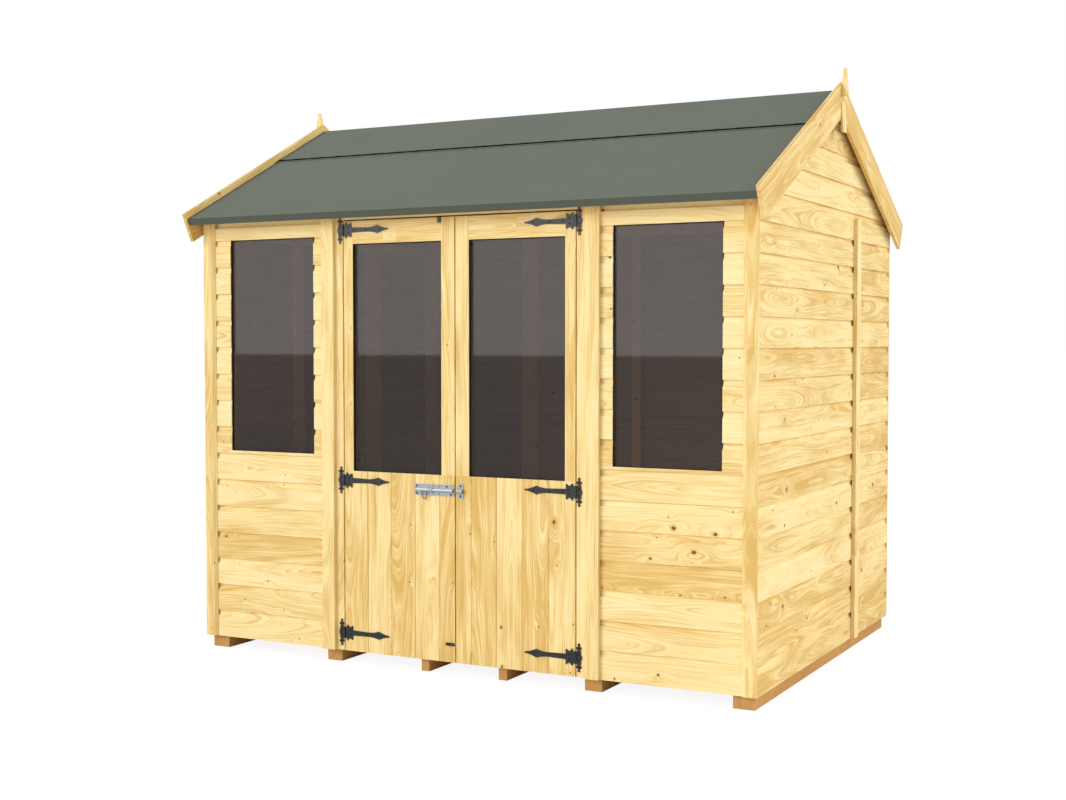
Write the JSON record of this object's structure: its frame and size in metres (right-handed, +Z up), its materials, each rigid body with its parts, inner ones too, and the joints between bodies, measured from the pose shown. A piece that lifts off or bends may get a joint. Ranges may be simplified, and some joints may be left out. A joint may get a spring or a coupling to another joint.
{
  "type": "apex summerhouse",
  "caption": "Timber apex summerhouse with shiplap walls, a felted pitched roof, side windows and a pair of glazed doors with T-hinges and a sliding barrel bolt.",
  "frame": {"origin": "centre of the plan on the ground, under the bearers", "axes": "+X along the long front to the right, +Y from the doors to the back, +Z up"},
  "size_m": [2.508, 1.9388, 2.3304],
  "materials": {
    "cladding": "planed softwood shiplap, pressure treated, matt",
    "trim_timber": "planed softwood strips, pressure treated, matt",
    "door_timber": "planed softwood, pressure treated, matt",
    "framing": "sawn softwood framing",
    "floor_timber": "planed tongued floor boards",
    "roof_timber": "sawn roof boards",
    "bearer_timber": "sawn softwood with brown treatment",
    "felt": "mineral bitumen felt, grey green",
    "glass": "clear acrylic glazing, smooth",
    "black_iron": "black powder coat, satin",
    "zinc_steel": "bright zinc plate"
  },
  "bodies": {
    "root": {"bearers": "bearer_timber", "floor_boards": "floor_timber", "front_left_wall": "cladding", "front_right_wall": "cladding", "front_frames": "framing", "left_window_glass": "glass", "right_window_glass": "glass", "door_posts": "trim_timber", "door_head": "trim_timber", "door_cover_strips": "trim_timber", "left_gable_wall": "cladding", "right_gable_wall": "cladding", "left_gable_frame": "framing", "right_gable_frame": "framing", "back_wall": "cladding", "back_frame": "framing", "panel_cover_strips": "trim_timber", "front_corner_strips": "trim_timber", "back_corner_strips": "trim_timber", "front_roof_boards": "roof_timber", "back_roof_boards": "roof_timber", "roof_purlins": "framing", "eaves_battens": "roof_timber", "front_felt": "felt", "back_felt": "felt", "ridge_felt": "felt", "front_left_barge": "trim_timber", "back_left_barge": "trim_timber", "front_right_barge": "trim_timber", "back_right_barge": "trim_timber", "left_finial": "trim_timber", "right_finial": "trim_timber", "post_hinge_plates": "black_iron"},
    "left_door": {"left_door_frame": "door_timber", "left_door_boards": "door_timber", "left_door_glass": "glass", "left_door_hinges": "black_iron", "bolt_plate": "zinc_steel", "door_catches": "black_iron"},
    "right_door": {"right_door_frame": "door_timber", "right_door_boards": "door_timber", "right_door_glass": "glass", "right_door_hinges": "black_iron", "bolt_keeper": "zinc_steel"},
    "bolt": {"bolt_rod": "zinc_steel"}
  },
  "joints": [
    {"name": "left_door_hinge", "type": "hinge", "parent": "root", "child": "left_door", "pos_m": [-0.5085, -0.873, 0.05], "axis": [0, 0, -1], "range_deg": [0, 150]},
    {"name": "right_door_hinge", "type": "hinge", "parent": "root", "child": "right_door", "pos_m": [0.5085, -0.873, 0.05], "axis": [0, 0, 1], "range_deg": [0, 150]},
    {"name": "bolt_slide", "type": "slide", "parent": "left_door", "child": "bolt", "axis": [1, 0, 0], "range_m": [0, 0.029]}
  ]
}
